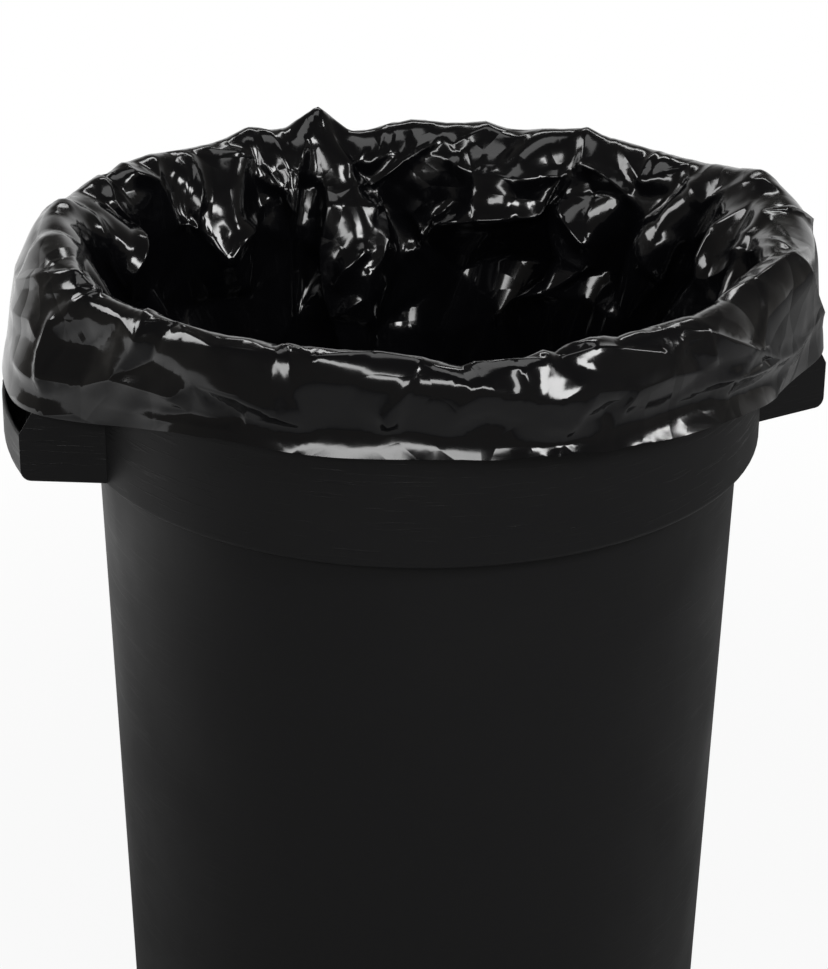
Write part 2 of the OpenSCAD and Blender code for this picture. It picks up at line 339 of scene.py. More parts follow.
# Creases, each a line of places: azimuth, mm of film from the lowest worked row, and height
# over the film in mm
CREASES = [
    [(144.9, 387, 3), (149, 356, 7), (146.8, 331, 9), (154.1, 290, 9), (153.2, 271, 7)],
    [(159, 337, 3), (157.9, 298, 6), (154.9, 279, 6)],
    [(157.3, 334, 3), (158.9, 309, 5), (156.2, 294, 5)],
    [(138.3, 388, 3), (140.2, 371, 7), (135.3, 360, 6), (133.5, 322, 9), (126.4, 318, 9),
     (124.1, 378, 3)],
    [(127.4, 364, 3), (128.3, 336, 5), (129.4, 322, 7)],
    [(125.5, 329, 3), (123.8, 308, 8), (122, 289, 12)],
    [(107.4, 326, 3), (114.1, 313, 6), (120.2, 301, 9), (122, 289, 12)],
    [(109.9, 376, 3), (108.2, 357, 6), (105.7, 331, 8)],
    [(110.5, 378, 2), (111.7, 350, 4), (105.7, 330, 8)],
    [(105.5, 379, 3), (104.3, 345, 8), (105.3, 313, 13)],
    [(99.6, 365, 3), (103.2, 344, 8), (105.3, 313, 13)],
    [(106, 328, 5), (105.2, 288, 8), (104.5, 214, 8)],
    [(96.3, 325, 4), (95.3, 308, 9), (96.4, 271, 11), (95.9, 237, 11), (94.7, 215, 9)],
    [(81.4, 345, 4), (86.2, 305, 9), (87.5, 276, 11), (90.2, 251, 12), (90.3, 233, 11),
     (92.4, 222, 10), (94.7, 214, 9)],
    [(90.3, 233, 11), (89.2, 215, 7)],
    [(88.8, 321, 4), (88.2, 306, 9), (86.2, 305, 9)],
    [(90.9, 270, 12), (92.8, 256, 13), (94, 243, 11)],
    [(92.4, 366, 2), (92, 341, 6), (87, 357, 6), (85.9, 369, 3)],
    [(82.7, 388, 2), (83.5, 364, 6), (84.9, 356, 6)],
    [(81.2, 388, 2), (81.8, 365, 6), (84.9, 356, 6)],
    [(91.5, 321, 5), (85.8, 334, 7), (77.8, 359, 8), (73.1, 373, 6)],
    [(131.9, 381, 2), (134.9, 361, 5)],
    [(120.1, 379, 3), (111.2, 363, 3)],
    [(128.4, 385, 1), (118.8, 388, 3), (113.5, 369, 4)],
    [(78.9, 358, 8), (76.6, 368, 7), (71.4, 380, 5), (69.4, 372, 5), (66.6, 378, 5),
     (63.1, 386, 4), (56.3, 377, 4)],
    [(66.3, 367, 3), (63.8, 345, 8), (62.9, 356, 5), (62.2, 345, 8)],
    [(74.3, 364, 4), (71.3, 361, 5), (63.7, 343, 8), (57.2, 337, 9), (52.7, 339, 9),
     (46.2, 337, 8)],
    [(45.9, 333, 7), (48.9, 321, 10), (50.3, 313, 12), (52.9, 309, 13), (58, 312, 13),
     (62.9, 308, 12), (68.2, 300, 12), (74.4, 285, 9)],
    [(74.7, 325, 5), (76.9, 315, 7), (74.7, 291, 9), (74.6, 323, 5)],
    [(72.5, 309, 6), (70, 298, 11), (68, 304, 9)],
    [(77.6, 274, 6), (75.2, 277, 7)],
    [(43.9, 316, 5), (41.2, 297, 10), (38.7, 280, 11)],
    [(42.2, 266, 6), (39.1, 258, 9), (44.4, 236, 11), (57.4, 202, 9)],
    [(44.4, 380, 2), (41.5, 343, 7), (37.4, 337, 8), (30.5, 324, 9)],
    [(38.7, 372, 2), (28.4, 337, 8), (28.8, 369, 2)],
    [(26.6, 366, 2), (26.8, 339, 6)],
    [(19.2, 275, 8), (21.2, 260, 9), (19.4, 247, 9), (16.7, 276, 6)],
    [(9, 297, 4), (10.9, 274, 8)],
    [(357.4, 311, 4), (1.7, 284, 8), (1.1, 255, 9), (0.3, 243, 7), (358.4, 248, 5),
     (333.6, 358, 4)],
    [(356.1, 315, 4), (351, 321, 5), (338.4, 356, 4)],
    [(353.4, 288, 5), (340.1, 338, 5), (336.1, 360, 4)],
    [(12.3, 306, 4), (6.5, 315, 4), (358.4, 334, 3)],
    [(16.1, 350, 2), (8.3, 322, 3), (12.3, 305, 4)],
    [(21.1, 353, 2), (18.5, 329, 4), (12.5, 306, 4)],
    [(190.8, 388, 2), (191.9, 396, 4), (191.8, 419, 5), (192.6, 439, 5), (193.1, 469, 3)],
    [(175.9, 393, 3), (186, 362, 4), (191.6, 353, 6)],
    [(177.5, 353, 2), (191, 353, 5)],
    [(187.9, 372, 3), (189, 360, 4), (192.2, 353, 4), (196.8, 358, 2)],
    [(188.1, 373, 3), (194.3, 364, 4), (196.9, 358, 2)],
    [(190.7, 384, 2), (196.9, 371, 4), (197.2, 358, 3)],
    [(197.5, 358, 1), (206.7, 386, 3), (211, 400, 5), (208.5, 372, 3)],
    [(207.5, 374, 2), (210.7, 389, 4), (211, 400, 5)],
    [(210.7, 375, 2), (215.7, 382, 3), (225.5, 396, 4), (229.5, 393, 4), (235.9, 393, 4)],
    [(215.8, 383, 2), (218.2, 390, 3), (225, 401, 5), (235.7, 400, 5), (237, 396, 3)],
    [(238.5, 392, 1), (239.3, 392, 3), (237.1, 396, 4)],
    [(233.7, 392, 2), (239.3, 392, 3), (245.6, 392, 4)],
    [(236.7, 398, 3), (241.3, 400, 6), (246.2, 394, 4), (249.6, 392, 4), (256.2, 396, 3)],
    [(222.3, 428, 1), (230.2, 430, 4), (235.4, 438, 4), (238.5, 447, 2)],
    [(200.1, 439, 1), (205.4, 431, 3), (218.2, 440, 4), (220.6, 454, 2)],
    [(202.3, 454, 1), (214.1, 461, 4), (226.8, 462, 3)],
    [(230.6, 443, 1), (230.6, 458, 4), (233.1, 456, 3)],
    [(230.6, 443, 1), (233.1, 456, 3)],
    [(250.1, 433, 1), (251.8, 444, 3)],
    [(238.3, 425, 1), (238.5, 447, 3)],
    [(173.5, 421, 1), (186.3, 400, 3), (190.1, 411, 2)],
    [(183.6, 441, 1), (191.4, 443, 3), (192.6, 454, 2)],
    [(264, 393, 1), (270, 396, 3), (275, 395, 3)],
    [(265.3, 403, 1), (269, 400, 3), (271, 403, 5), (271.9, 423, 3)],
    [(271.9, 423, 3), (275.7, 425, 4), (279.1, 415, 3), (281.8, 406, 1)],
    [(276.6, 392, 1), (282.3, 390, 3), (285.8, 392, 3), (294.8, 400, 1)],
    [(292.1, 383, 1), (303.2, 393, 4), (315.8, 417, 4), (324.6, 435, 4)],
    [(285.9, 439, 1), (288, 423, 3), (294.8, 418, 3), (302.4, 421, 1)],
    [(305.2, 433, 1), (310.4, 433, 4), (326.2, 436, 4), (334.6, 441, 3), (345.3, 429, 2)],
    [(272.1, 439, 1), (273.5, 437, 3), (277.3, 446, 3), (275.8, 458, 3), (275.6, 470, 3)],
    [(297.9, 385, 1), (297.3, 396, 3), (299.2, 401, 1)],
    [(302.4, 397, 2), (303.4, 411, 4), (305.4, 419, 1)],
    [(314.1, 411, 1), (313.6, 419, 3), (320, 430, 1)],
    [(334.3, 443, 3), (330.7, 459, 3), (326, 470, 2)],
    [(338.8, 436, 2), (328.7, 457, 3)],
    [(334.4, 363, 6), (339.7, 392, 4), (346.7, 429, 3)],
    [(334.4, 363, 6), (341.6, 364, 3), (349.9, 366, 1)],
    [(314.1, 365, 3), (323, 366, 4), (334.4, 363, 6)],
    [(352.3, 360, 3), (352.3, 360, 4), (352.4, 360, 2)],
]

# Corners set between the creases, in the same measures
CORNERS = ((262, 392, -2), (270, 388, -4), (278, 388, -5), (287, 390, -3), (264, 414, 2),
           (272, 420, 3), (281, 420, 4), (289, 416, 2), (266, 437, -4),
           (284, 437, -4), (230, 450, -3), (242, 452, -3), (254, 451, -3), (294, 448, -3),
           (306, 446, -3))

# Corners strewn over the rest: spacing round and along the film, lowest and highest place
# along it, least and greatest height, in mm. STREWN is how far one moves, as a share of the
# spacing. One keeps CREASE_REACH off the creases and CORNER_ROOM times that off set corners.
LOOSE = ((36, 92, 0, 300, -12, 4), (60, 40, 300, 418, -6, 5), (70, 26, 418, 470, -3, 0))
STREWN = 0.38
CREASE_REACH = 12
CORNER_ROOM = 1.7

# The folded film's height: the corners' times FOLD_GAIN, and beside a crease a ridge of
# RIDGE_GAIN times its height that ends after RIDGE_HALF mm. From CALM_START on, CALM of it
# is lost over CALM_RUN mm.
FOLD_GAIN = 1.2
RIDGE_GAIN = 0.5
RIDGE_HALF = 9
CALM = 0.75
CALM_START = 438
CALM_RUN = 18

# The hem turns out from HEM_START on, and sooner at HEM_SOONER: azimuth, half width and mm
HEM_START = 452
HEM_SLOPE = 0.44
HEM_SOONER = (276, 14, 15)

# Vertices, in mm: rows SIDE_ROW beside each crease, SIDE_ROOM off the other folds, and
# scattered ones FOLD_ROOM off the folds and CREASE_ROOM off the creases. All keep END_ROOM
# off both ends of the film, and those near the seam repeat for OVERLAP past it.
SIDE_ROW = 1.5
SIDE_ROOM = 1.3
FOLD_ROOM = 1.9
CREASE_ROOM = 3
END_ROOM = 1.6
SCATTER = 0.4
OVERLAP = 30

# How far the loose film stands in from the wall, high up and lower down, in mm
HIGH_IN = 15
LOW_IN = 30

# The film's way, as stops: INSIDE_STOPS up the wall, CUFF_STOPS down outside, and between them
# OVER_RIM, each with its radius, the shares of the loose depth and of the lean that are added
# to it, and its share of the crest's height
INSIDE_STOPS = 80
CUFF_STOPS = 24
OVER_RIM = ((RIM_IN - 3, -0.9, 0.08, 0.35), (RIM_IN - 1, -0.7, 0.3, 0.8), (RIM, -0.3, 0.6, 1),
            (RIM_OUT + GAP, 0, 0.85, 0.75), (RIM_OUT + 2 * GAP, 0, 1, 0.3))

# The drape: how the wanted place holds the film near the crest and near the hem, each with
# its reach in mm, and outside against inside. SAG is in mm a round. PRESS and SHEAR are how
# an edge and a slanted one keep their length: SHEAR against pull and against pressure. The
# draped film is smoothed ROUND_PASSES times round the bin, and ALL_PASSES times all ways.
CREST_HOLD = (0.06, 14.0)
HEM_HOLD = (0.03, 10.0)
OUTSIDE_HOLD = 10
SAG = 0.02
PRESS = 0.8
SHEAR = (0.7, 0.56)
SEED = 7
ROUND_PASSES = 30
ALL_PASSES = 3

# The bag below the worked part: rows down the wall, to CORNER mm over the bin's floor, and
# over the floor to a ring of radius MIDDLE
WALL_ROWS = 14
FLOOR_ROWS = 12
CORNER = 26
MIDDLE = 14
LUMPS = ((7, 0.3, 0), (12, 1.9, 0))


def clamp(t):
    return np.clip(t, 0, 1)


def ease(t):
    t = clamp(t)
    return t * t * (3 - 2 * t)


def mix(a, b, t):
    return a + (b - a) * t


def apart(a, b):
    """The angle between two azimuths."""
    return np.abs((a - b + 900) % 360 - 180)


def from_handle(a):
    """The angle to the nearer handle."""
    return np.minimum(apart(a, HANDLES[0]), apart(a, HANDLES[1]))


def off_grip(a):
    """From 0 on the handles to 1 away from them."""
    return ease((from_handle(a) - 25) / 20)


def hill(a, at, half):
    return ease(1 - apart(a, at) / half)


def hills(a, rows):
    return sum(height * hill(a, at, half) for at, half, height in rows)


def ripples(a, z, waves):
    """Small pleats all round, from waves of a count, a phase and a slant."""
    return sum(1 + np.sin(n * np.radians(a) + phase + slant * z / 100) for n, phase, slant in waves)


def bag_radius(z):
    """Radius of a bag that lies along the bin's inside."""
    low = mix(FOOT, BODY, z / EDGE) - WALL
    high = mix(BODY - WALL, RIM_IN, clamp((z - EDGE) / (HEIGHT - EDGE)) ** 1.6)
    return np.where(z < EDGE, low, high) - GAP


def fold_in(a, z, waves):
    """How far the loose film stands in from the wall."""
    slack = 0.6 + 0.4 * np.sin(3 * np.radians(a) + 1.1) * np.sin(5 * np.radians(a))
    depth = HIGH_IN * slack * ease((HEIGHT - 6 - z) / 60)
    above = ease((z - 200) / 300)
    depth = depth + LOW_IN * (1.4 - slack) * ease((680 - z) / 170) * mix(0.3, 1, above)
    for at, half, high, low, height in TONGUES:
        grown = clamp((high - z) / (high - low)) * ease((z - low + 22) / 22)
        depth = depth + height * grown * clamp(1.6 * (1 - apart(a, at) / half))
    for at, half, height, lean, low, high in FOLDS:
        top = ease((high + 14 - z) / 28)
        share = 0.75 * ease((z - low + 40) / 80) + 0.25 * ease((z - 60) / 200)
        depth = depth + height * hill(a, at + lean * (high - z) / 150, half) * share * top
    return depth + 0.5 * ripples(a, z, waves)


def cover(a):
    """Radius of a cuff pulled tight over the collar and the handles."""
    reach = REACH + 2 * GAP
    near = RIM_OUT + 2 * GAP
    end = COVER_TURN + math.degrees(math.acos(near / reach))
    side = from_handle(a)
    slope = near / np.cos(np.radians(end - side))
    return np.where(side < COVER_TURN, reach, np.where(side < end, slope, near))


def spread(z):
    """Share of the way out to that cover, from the rim down to the grips."""
    return 1 - clamp(1 - (HEIGHT - z) / (HEIGHT - GRIP_TOP)) ** 1.8


def cuff_out(a, z, low, waves):
    """Radius of the cuff, from the rim down to the hem."""
    top = RIM_OUT + 2 * GAP + hills(a, LEANS)
    full = np.maximum(cover(a), top)
    beside = ease((from_handle(a) - 12) / 20)
    pleats = spread(z) * 0.3 * ripples(a, z, waves) * mix(0.15, 1, beside)
    front = mix(0.25, 1, ease((apart(a, FRONT) - 35) / 30))
    share = clamp((z - low) / (HEIGHT - low))
    flare = FLARE * ease((low + FLARE_RUN - z) / FLARE_RUN)
    flare = flare * (0.8 + 0.2 * np.sin(4 * np.radians(a)))
    belly = (BELLY + hills(a, BULGES)) * np.sin(math.pi * clamp((share - 0.14) / 0.86))
    return mix(top, full, spread(z)) + pleats * front + (flare + belly) * off_grip(a)


def crest_top(a):
    """Height of the crest over the rim."""
    return HEIGHT + CREST_RISE + hills(a, PEAKS) + 0.8 * np.sin(11 * np.radians(a))


def hem(a):
    """Height of the cuff's lower end."""
    turn = np.radians(a)
    low = HEIGHT - CUFF_DROP - hills(a, DROPS)
    return low + 1.5 * np.sin(7 * turn) + np.sin(13 * turn + 0.7)


def wanted(a, rows, waves):
    """The film's wanted place: rows from the low inside row over the crest to the hem."""
    top = crest_top(a)
    lean = hills(a, LEANS)
    loose = fold_in(a, HEIGHT - 4.0, waves[0]) * 0.45
    stops = []
    for t in np.linspace(0, 1, INSIDE_STOPS):
        z = mix(HEIGHT - FINE, HEIGHT - 6, t) + 0 * a
        near = mix(1, 0.55, ease((z - (HEIGHT - 60)) / 60))
        stops.append((bag_radius(z) - fold_in(a, z, waves[0]) * near, z))
    for base, inward, outward, rise in OVER_RIM:
        stops.append((base + inward * loose + outward * lean, mix(HEIGHT, top, rise)))
    low = hem(a)
    for t in np.linspace(0.05, 1, CUFF_STOPS):
        z = mix(HEIGHT - 2, low, t)
        stops.append((cuff_out(a, z, low, waves[1]), z))
    r = np.array([s[0] + 0 * a for s in stops])
    z = np.array([s[1] + 0 * a for s in stops])
    for _ in range(2):
        r[1:-1] = (r[:-2] + 2 * r[1:-1] + r[2:]) / 4
        z[1:-1] = (z[:-2] + 2 * z[1:-1] + z[2:]) / 4
    run = np.cumsum(np.hypot(np.diff(r, axis=0), np.diff(z, axis=0)), axis=0)
    run = np.concatenate([np.zeros((1, len(a))), run])
    out = np.empty((len(a), rows, 3))
    for i, turn in enumerate(np.radians(a)):
        s = run[-1, i] - FINE + np.linspace(0, FINE, rows)
        across = np.interp(s, run[:, i], r[:, i])
        out[i] = np.stack([across * math.cos(turn), across * math.sin(turn),
                           np.interp(s, run[:, i], z[:, i])], -1)
    return out


def push(a, b, rest, pull, press):
    """Moves the ends of many edges towards their rest length."""
    gap = b - a
    length = np.sqrt((gap * gap).sum(-1, keepdims=True)) + 1e-9
    error = (length - rest) / length
    gap *= error * np.where(error > 0, 0.5 * pull, 0.5 * press)
    a += gap
    b -= gap


def edges(film, step, rest, pull, press, axis=0, slant=0):
    """Pushes every edge of one kind, in groups that share no vertex."""
    for group in range(2 * step):
        if axis == 1:
            a, b = film[:, group::2 * step], film[:, group + step::2 * step]
            count = min(a.shape[1], b.shape[1])
            if count:
                push(a[:, :count], b[:, :count], rest, pull, press)
            continue
        runs = []
        if group < step:
            runs.append((film[group::2 * step], film[group + step::2 * step]))
        else:
            a, b = film[group::2 * step], film[group + step::2 * step]
            runs.append((a[:len(b)], b))
            if len(a) > len(b):
                runs.append((a[len(b):], film[group - step:group - step + 1]))
        for a, b in runs:
            if slant == 1:
                a, b = a[:, :-1], b[:, 1:]
            elif slant == 2:
                a, b = a[:, 1:], b[:, :-1]
            push(a, b, rest, pull, press)


def collide(film, inner):
    """Keeps the film off the bin's wall, rim and handles."""
    x, y, z = film[..., 0], film[..., 1], film[..., 2]
    r = np.sqrt(x * x + y * y) + 1e-6
    new_r, new_z = r.copy(), z.copy()
    limit = bag_radius(z) + GAP - CLEAR
    out = (z < HEIGHT - ROLL) & inner & (r > limit)
    new_r[out] = limit[out]
    new_r[(z < HEIGHT - 2) & ~inner & (r < RIM_OUT + CLEAR) & (z > EDGE)] = RIM_OUT + CLEAR
    dr, dz = new_r - RIM, new_z - (HEIGHT - ROLL)
    d = np.sqrt(dr * dr + dz * dz) + 1e-6
    near = ROLL + CLEAR
    out = d < near
    new_r[out] = RIM + (dr * near / d)[out]
    new_z[out] = HEIGHT - ROLL + (dz * near / d)[out]
    ax, ay = np.abs(x) * new_r / r, np.abs(y) * new_r / r
    half = mix(ROOT_WIDTH / 2, GRIP_WIDTH / 2, (ax - ROOT_X) / (TIP_X - ROOT_X)) + 1
    slope = (HEIGHT - ROLL - GRIP_TOP) / (REACH - RIM_OUT)
    cosine = 1 / math.sqrt(1 + slope * slope)
    above = (GRIP_TOP + slope * (REACH - new_r) + 1 - new_z) * cosine
    beside = half - ay
    beyond = REACH + 1 - new_r
    hit = (above > 0) & (beside > 0) & (beyond > 0) & (new_z > GRIP_BASE - 5)
    hit &= (ax > ROOT_X - 8) & ~inner
    to_x, to_y = x * new_r / r, y * new_r / r
    if hit.any():
        way = np.argmin(np.stack([above[hit], beside[hit], beyond[hit]]), 0)
        hr, hz = new_r[hit], new_z[hit]
        up = way == 0
        hr[up] += above[hit][up] * slope * cosine
        hz[up] += above[hit][up] * cosine
        hr[way == 2] = REACH + 1
        turn = np.arctan2(ay[hit], ax[hit])
        side = way == 1
        turn[side] += beside[hit][side] / hr[side]
        to_x[hit] = np.sign(x[hit]) * np.abs(hr * np.cos(turn))
        to_y[hit] = np.where(y[hit] < 0, -1, 1) * hr * np.sin(turn)
        new_z[hit] = hz
    film[..., 0], film[..., 1], film[..., 2] = to_x, to_y, new_z


def finer(film, around, rows):
    """The film on a finer grid."""
    n, m = film.shape[:2]
    u = np.arange(around) * n / around
    i = np.floor(u).astype(int)
    f = (u - i)[:, None, None]
    wide = film[i % n] * (1 - f) + film[(i + 1) % n] * f
    v = np.linspace(0, m - 1, rows)
    j = np.minimum(np.floor(v).astype(int), m - 2)
    g = (v - j)[None, :, None]
    return wide[:, j] * (1 - g) + wide[:, j + 1] * g


def relax(film, goal, rounds, hold, stiff):
    """Position based dynamics: the film keeps its lengths, bends a little and sags."""
    around, rows = film.shape[:2]
    film, goal = film.astype(np.float32), goal.astype(np.float32)
    crest = np.argmax(goal[..., 2], 1)
    row = np.arange(rows)[None, :]
    inner = row < crest[:, None]
    scale = FINE / (rows - 1)
    near_crest = np.exp(-((row - crest[:, None]) * scale / CREST_HOLD[1]) ** 2)
    near_hem = np.exp(-((row - rows + 1) * scale / HEM_HOLD[1]) ** 2)
    weight = hold * np.where(inner, 1, OUTSIDE_HOLD)
    weight = weight + CREST_HOLD[0] * near_crest + HEM_HOLD[0] * near_hem
    weight = weight[..., None].astype(np.float32)
    girth = np.linalg.norm(np.roll(goal, -1, 0) - goal, axis=-1).sum(0)
    spare = 1.02 - 0.02 * ease((np.arange(rows) * scale - FINE + 110) / 40)
    across = (np.minimum(BAG_ROUND, girth * spare) / around)[None, :, None].astype(np.float32)
    slanted = np.sqrt(across ** 2 + scale ** 2)
    lowest = goal[:, :1].copy()
    for count in range(rounds):
        film[..., 2] -= SAG
        film += (goal - film) * weight
        edges(film, 2, 2 * across, 0, stiff)
        edges(film, 2, 2 * scale, 0, stiff, 1)
        if count % 2 == 0:
            edges(film, 4, 4 * across, 0, stiff)
            edges(film, 4, 4 * scale, 0, stiff, 1)
        edges(film, 1, slanted[:, 1:], *SHEAR, 0, 1)
        edges(film, 1, slanted[:, 1:], *SHEAR, 0, 2)
        edges(film, 1, scale, 1, PRESS, 1)
        edges(film, 1, across, 1, PRESS)
        collide(film, inner)
        film[:, :1] = lowest
    return film


def near_crease(segments, x, y):
    """Distance to the nearest crease in reach, and the crease's height there."""
    best, height = np.full_like(x, CREASE_REACH), np.zeros_like(x)
    for (x0, y0, h0), (x1, y1, h1) in segments:
        near = np.nonzero((x > min(x0, x1) - CREASE_REACH) & (x < max(x0, x1) + CREASE_REACH)
                          & (y > min(y0, y1) - CREASE_REACH)
                          & (y < max(y0, y1) + CREASE_REACH))[0]
        ex, ey = x1 - x0, y1 - y0
        t = clamp(((x[near] - x0) * ex + (y[near] - y0) * ey) / (ex * ex + ey * ey + 1e-9))
        away = np.hypot(x[near] - x0 - t * ex, y[near] - y0 - t * ey)
        closer = away < best[near]
        height[near[closer]] = mix(h0, h1, t)[closer]
        best[near[closer]] = away[closer]
    return best, height


def loose_points(segments, rng):
    """Corners between the creases: place on the film and height, one turn round the bin."""
    found = []
    for step_x, step_y, low, high, least, most in LOOSE:
        columns = round(TURN / step_x)
        for j in range(round((high - low) / step_y)):
            for i in range(columns):
                x = (i + 0.5 * (j % 2) + rng.uniform(-STREWN, STREWN)) * TURN / columns
                y = low + (j + 0.5 + rng.uniform(-STREWN, STREWN)) * step_y
                found.append((x % TURN, y, rng.uniform(least, most)))
    found = np.array(found)
    away, _ = near_crease(segments, found[:, 0], found[:, 1])
    fixed = np.array([((a - SEAM) % 360 * TURN / 360, y, h) for a, y, h in CORNERS])
    for x, y, _ in fixed:
        away = np.minimum(away, np.hypot(found[:, 0] - x, found[:, 1] - y) / CORNER_ROOM)
    ends = []
    for k in range(0, AROUND, 32):
        ends += [(k * TURN / AROUND, 0, 0), (k * TURN / AROUND, FINE, rng.uniform(-3, -2))]
    return np.concatenate([found[away > CREASE_REACH - 0.1], fixed, ends])


def folded_flat(lines, rng):
    """The film laid flat and folded into flat triangles, whose edges are the creases."""
    segments = []
    for line in lines:
        spots = [((a - line[0][0] + 540) % 360 - 180 + line[0][0], s, h) for a, s, h in line]
        spots = [((a - SEAM) * TURN / 360, s, h) for a, s, h in spots]
        for shift in (-TURN, 0, TURN):
            moved = [(x + shift, y, h) for x, y, h in spots]
            segments += zip(moved[:-1], moved[1:])
    segments = [pair for pair in segments
                if all(-MARGIN < x < TURN + MARGIN for x, _, _ in pair)]
    corners, edges_between = [], []
    for pair in segments:
        edges_between.append((len(corners), len(corners) + 1))
        corners += [Vector(spot[:2]) for spot in pair]
    loose = loose_points(segments, rng)
    for shift in (-TURN, 0, TURN):
        for x, y, _ in loose:
            if -MARGIN < x + shift < TURN + MARGIN:
                corners.append(Vector((x + shift, y)))
    spots, _, faces, *_ = delaunay_2d_cdt(corners, edges_between, [], 0, 1.5)
    x, y = np.array([v.x for v in spots]), np.array([v.y for v in spots])
    away, height = near_crease(segments, x, y)
    gap = np.abs((x[:, None] - loose[None, :, 0] + TURN / 2) % TURN - TURN / 2)
    nearest = np.argmin(gap + np.abs(y[:, None] - loose[None, :, 1]), 1)
    height = np.where(away < 2, height, loose[nearest, 2])
    return segments, x, y, height, faces


def places(plan, rng):
    """Places for the film's vertices, along every fold and between, and the folds' edges."""
    segments, x, y, _, faces = plan
    found, joined, folds = [], [], set()
    for face in faces:
        for one, other in zip(face, face[1:] + face[:1]):
            folds.add((min(one, other), max(one, other)))
    folds = [(one, other) for one, other in sorted(folds)
             if max(y[one], y[other]) > 0.01 and min(y[one], y[other]) < FINE - 0.01
             and max(x[one], x[other]) > -OVERLAP
             and min(x[one], x[other]) < TURN + OVERLAP]
    for one, other in folds:
        parts = max(1, round(math.hypot(x[other] - x[one], y[other] - y[one]) / STEP))
        joined += [(len(found) + i, len(found) + i + 1) for i in range(parts)]
        found += [(mix(x[one], x[other], i / parts), mix(y[one], y[other], i / parts))
                  for i in range(parts + 1)]
    for i in range(-12, AROUND + 13):
        found += [(i * TURN / AROUND, 0), (i * TURN / AROUND, FINE)]
    beside = []
    for (x0, y0, _), (x1, y1, _) in segments:
        length = math.hypot(x1 - x0, y1 - y0) + 1e-9
        for t in np.linspace(0, 1, max(2, round(length / STEP) + 1)):
            for side in (-SIDE_ROW, SIDE_ROW):
                beside.append((mix(x0, x1, t) - side * (y1 - y0) / length,
                               mix(y0, y1, t) + side * (x1 - x0) / length))
    columns = round(TURN / STEP / 1.06)
    for j in range(1, round(FINE / STEP)):
        for i in range(columns):
            nudge = rng.uniform(-SCATTER, SCATTER, 2)
            beside.append(((i + 0.5 * (j % 2)) * TURN / columns + nudge[0], j * STEP + nudge[1]))
    beside = np.array(beside)
    fold_rows = [((x[one], y[one], 0), (x[other], y[other], 0)) for one, other in folds]
    away, _ = near_crease(fold_rows, beside[:, 0], beside[:, 1])
    from_crease, _ = near_crease(segments, beside[:, 0], beside[:, 1])
    keep = (away > FOLD_ROOM) & (from_crease > CREASE_ROOM)
    keep |= (np.abs(from_crease - SIDE_ROW) < 0.01) & (away > SIDE_ROOM)
    keep &= (beside[:, 1] > END_ROOM) & (beside[:, 1] < FINE - END_ROOM)
    beside = beside[keep]
    inside = (beside[:, 0] >= 0) & (beside[:, 0] < TURN)
    beside = beside[inside]
    for shift in (-TURN, 0, TURN):
        moved = beside + (shift, 0)
        moved = moved[(moved[:, 0] > -OVERLAP) & (moved[:, 0] < TURN + OVERLAP)]
        found += [tuple(spot) for spot in moved]
    return found, joined


def heights(plan, x, y):
    """Height of the folded film at the given places."""
    segments, corner_x, corner_y, corner_height, faces = plan
    found = np.zeros(len(x))
    for face in faces:
        (ax, ay, ah), (bx, by, bh), (cx, cy, ch) = [
            (corner_x[k], corner_y[k], corner_height[k]) for k in face]
        area_twice = (bx - ax) * (cy - ay) - (cx - ax) * (by - ay)
        if abs(area_twice) < 1e-6:
            continue
        near = np.nonzero((x > min(ax, bx, cx) - 0.1) & (x < max(ax, bx, cx) + 0.1)
                          & (y > min(ay, by, cy) - 0.1) & (y < max(ay, by, cy) + 0.1))[0]
        u = ((x[near] - ax) * (cy - ay) - (cx - ax) * (y[near] - ay)) / area_twice
        v = ((bx - ax) * (y[near] - ay) - (x[near] - ax) * (by - ay)) / area_twice
        inside = (u >= -1e-4) & (v >= -1e-4) & (u + v <= 1 + 1e-4)
        found[near[inside]] = (ah + u * (bh - ah) + v * (ch - ah))[inside]
    away, height = near_crease(segments, x, y)
    calm = 1 - CALM * ease((y - CALM_START) / CALM_RUN)
    ridge = RIDGE_GAIN * height * clamp(1 - away / RIDGE_HALF)
    return (FOLD_GAIN * found + ridge) * calm


def on_film(film, x, y):
    """Places on a film given as a grid: straight between columns, curved between rows."""
    columns, rows = film.shape[:2]
    u, v = x / TURN * columns, y / FINE * (rows - 1)
    i, j = np.floor(u).astype(int), np.clip(np.floor(v).astype(int), 0, rows - 2)
    f, g = (u - i)[:, None], (v - j)[:, None]
    found = 0
    for column, share in ((i, 1 - f), (i + 1, f)):
        a, b, c, d = [film[column % columns, np.clip(j + k, 0, rows - 1)] for k in (-1, 0, 1, 2)]
        curve = 2 * a - 5 * b + 4 * c - d + g * (3 * (b - c) + d - a)
        found = found + share * (b + 0.5 * g * (c - a + g * curve))
    return found


def normals(film):
    """Unit normals on the film's open side."""
    along = np.gradient(film, axis=1)
    across = np.roll(film, -1, 0) - np.roll(film, 1, 0)
    n = np.cross(along, across)
    return n / (np.linalg.norm(n, axis=-1, keepdims=True) + 1e-9)


def soften(film, share):
    """One smoothing pass that leaves the end rows."""
    mean = (np.roll(film, 1, 0) + np.roll(film, -1, 0)) / 2
    film = film + share * (mean - film)
    middle = (film[:, :-2] + film[:, 2:]) / 2
    film[:, 1:-1] += share * (middle - film[:, 1:-1])
    return film


